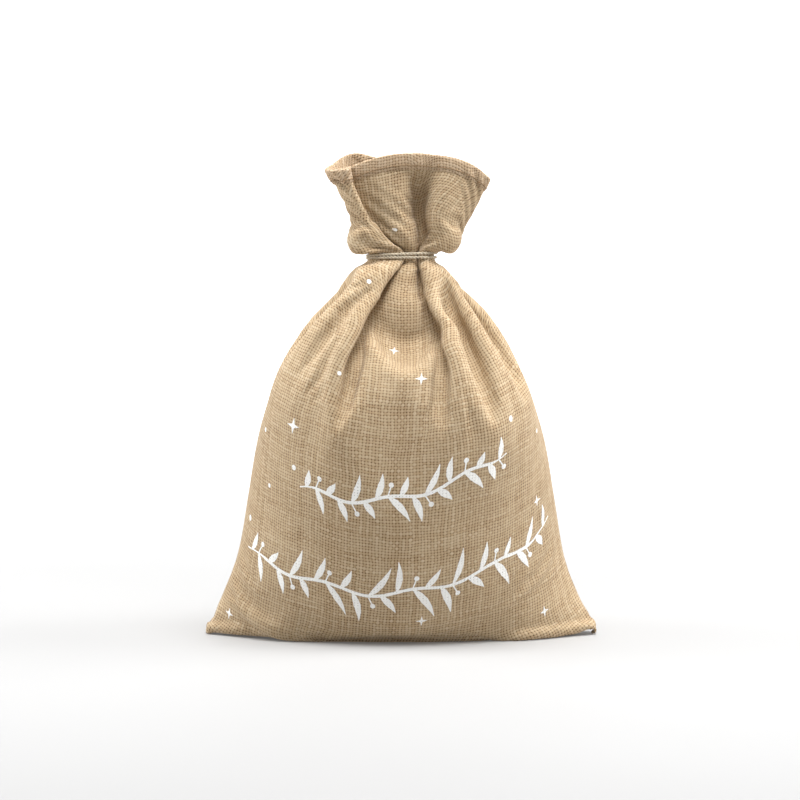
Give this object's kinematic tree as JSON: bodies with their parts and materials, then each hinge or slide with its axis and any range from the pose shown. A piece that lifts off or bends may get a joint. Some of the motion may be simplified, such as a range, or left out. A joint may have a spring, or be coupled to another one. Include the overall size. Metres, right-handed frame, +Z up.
{
  "type": "gift sack",
  "caption": "Filled jute gift sack, two panels sewn at the sides and bottom, tied round the neck with a thin cord, with a hemmed ruff above the tie.",
  "frame": {"origin": "on the floor, under the middle of the sack", "axes": "+Z up the sack, +X along its width, to the right of its printed front, which faces -Y"},
  "size_m": [0.29, 0.1502, 0.358],
  "materials": {
    "jute": "coarse plain weave",
    "jute_hem": "coarse plain weave, doubled",
    "cord": "twisted twine",
    "thread": "matt sewing thread",
    "filling": "matt, crumpled"
  },
  "bodies": {
    "sack": {"front_panel": "jute", "back_panel": "jute", "right_seam_allowance": "jute_hem", "left_seam_allowance": "jute_hem", "right_seam_stitching": "thread", "left_seam_stitching": "thread", "bottom_seam_allowance": "jute_hem", "bottom_seam_stitching": "thread", "tissue_filling": "filling", "neck_tie": "cord", "tie_knot": "cord"},
    "ruff": {"front_ruff": "jute", "back_ruff": "jute", "front_hem": "jute_hem", "back_hem": "jute_hem", "front_hem_stitching": "thread", "back_hem_stitching": "thread"},
    "right_tail_end": {"right_tail": "cord", "right_tail_knot": "cord"},
    "left_tail_end": {"left_tail": "cord", "left_tail_knot": "cord"}
  },
  "joints": [
    {"name": "ruff_tip", "type": "hinge", "parent": "sack", "child": "ruff", "pos_m": [0, 0, 0.2865], "axis": [1, 0, 0], "range_deg": [-16, 16], "stiffness_Nm_per_rad": 0.03},
    {"name": "right_tail_lift", "type": "hinge", "parent": "sack", "child": "right_tail_end", "pos_m": [0.0034, 0.0206, 0.2752], "axis": [1, 0, 0], "range_deg": [0, 70]},
    {"name": "left_tail_lift", "type": "hinge", "parent": "sack", "child": "left_tail_end", "pos_m": [-0.0034, 0.0206, 0.2752], "axis": [1, 0, 0], "range_deg": [0, 70]}
  ]
}
